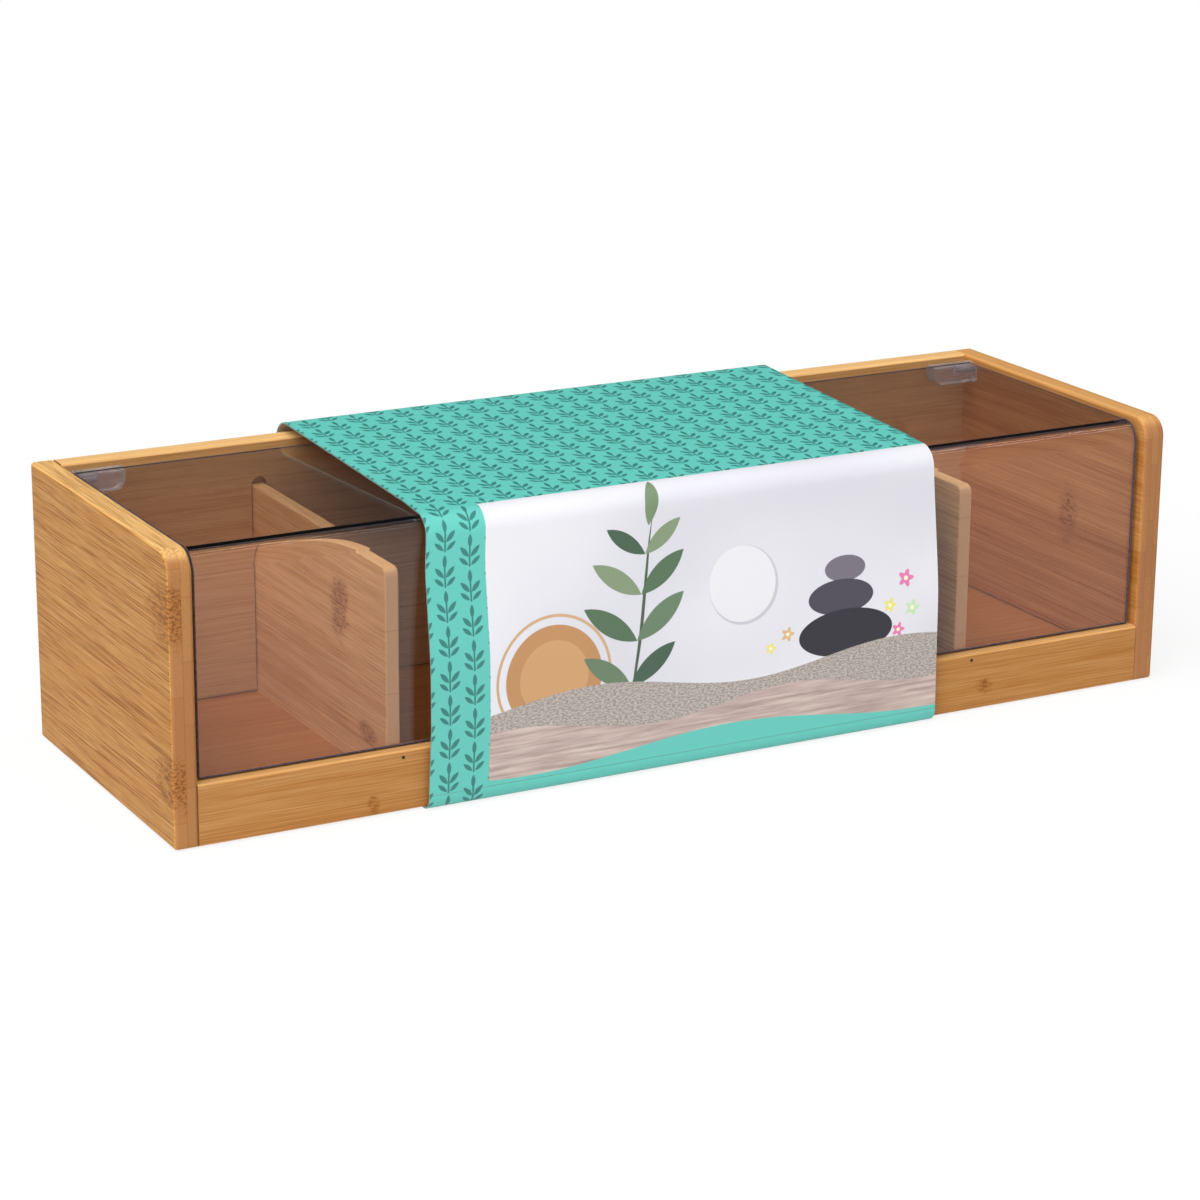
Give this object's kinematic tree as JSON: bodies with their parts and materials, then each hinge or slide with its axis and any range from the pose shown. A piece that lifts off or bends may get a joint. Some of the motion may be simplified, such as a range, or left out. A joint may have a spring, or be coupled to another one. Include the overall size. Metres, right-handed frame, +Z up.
{
  "type": "compartment box",
  "caption": "Long bamboo box with equal upright compartments, a smoked clear lid bent over the top and front and hinged at the rear corners, and a printed card band round its middle.",
  "frame": {"origin": "middle of the footprint, on the surface that the box stands on (underside of the card band)", "axes": "+X along the box towards its right end, +Y towards the back wall and the hinges, +Z up"},
  "size_m": [0.37, 0.127, 0.0996],
  "materials": {
    "bamboo": "satin lacquer, laminated strips",
    "dowel_wood": "raw",
    "smoked_plastic": "polished, lightly smoked",
    "clear_plastic": "polished, clear",
    "steel": "plain",
    "printed_card": "printed, satin varnish"
  },
  "bodies": {
    "box": {"left_end": "bamboo", "right_end": "bamboo", "back_wall": "bamboo", "front_rail": "bamboo", "floor_panel": "bamboo", "divider_1": "bamboo", "divider_2": "bamboo", "divider_3": "bamboo", "divider_4": "bamboo", "back_wall_dowels": "dowel_wood", "front_rail_dowels": "dowel_wood", "divider_brads": "steel", "sleeve_base": "printed_card"},
    "lid": {"lid": "smoked_plastic", "hinge_block_left": "clear_plastic", "hinge_block_right": "clear_plastic", "hinge_pin_left": "steel", "hinge_pin_right": "steel"},
    "sleeve_flap": {"sleeve_flap": "printed_card"}
  },
  "joints": [
    {"name": "lid_hinge", "type": "hinge", "parent": "box", "child": "lid", "pos_m": [0, 0.046, 0.0897], "axis": [-1, 0, 0], "range_deg": [0, 100]},
    {"name": "sleeve_crease", "type": "hinge", "parent": "box", "child": "sleeve_flap", "pos_m": [0, 0.06325, 0.09], "axis": [-1, 0, 0], "range_deg": [0, 100]}
  ],
  "couplings": [
    {"joint": "sleeve_crease", "follows": "lid_hinge", "ratio": 1}
  ]
}
